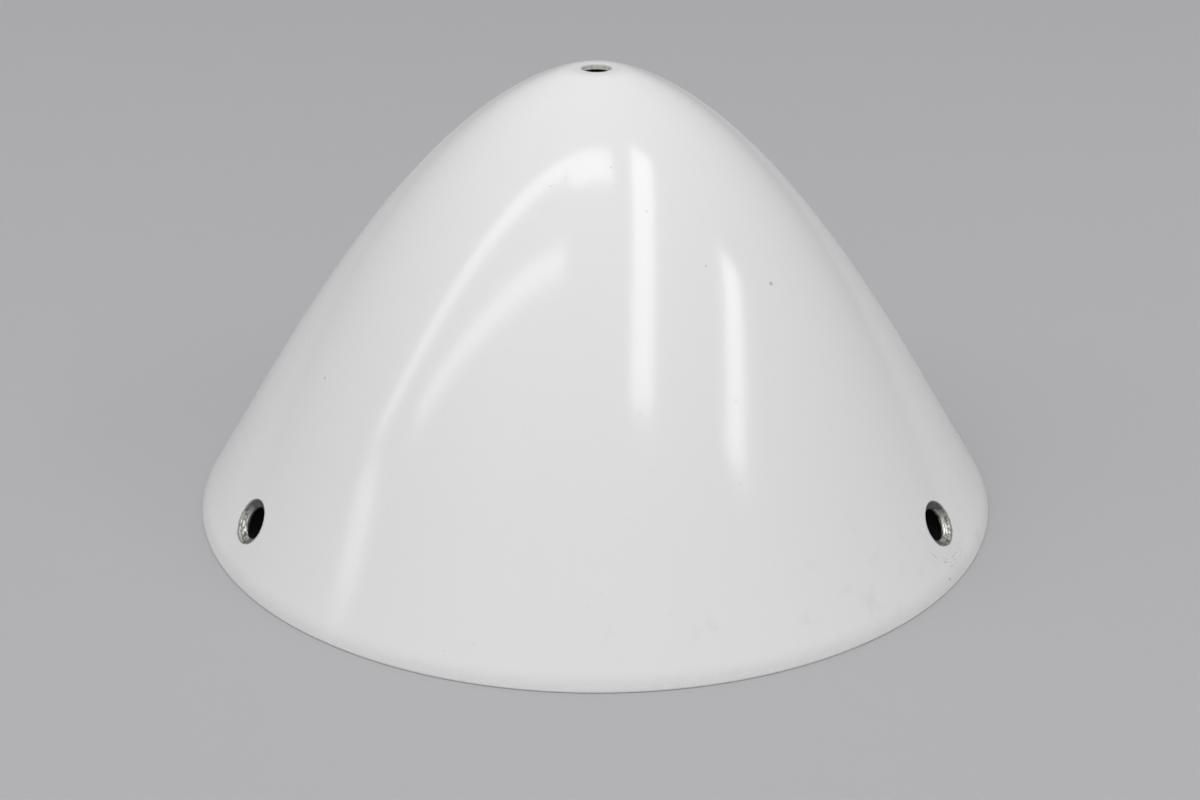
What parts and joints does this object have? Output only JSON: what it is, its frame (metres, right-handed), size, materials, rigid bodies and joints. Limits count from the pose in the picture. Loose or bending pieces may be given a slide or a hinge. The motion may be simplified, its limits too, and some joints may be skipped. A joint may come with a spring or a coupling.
{
  "type": "propeller spinner",
  "caption": "White painted dome spinner for a propeller hub: rounded nose with a small hole, straight steep flank, flat open rim, countersunk screw holes near the rim.",
  "frame": {"origin": "centre of the flat rim's plane, on the spinner's axis", "axes": "+Z along the spinner's axis, from the rim to the nose; +Y towards the one screw hole that lies on a row axis"},
  "size_m": [0.1524, 0.1524, 0.0823],
  "materials": {
    "white_paint": "semi-gloss white paint on aluminium; bare metal in the holes and inside"
  },
  "bodies": {
    "root": {"spinner_dome": "white_paint"}
  },
  "joints": []
}
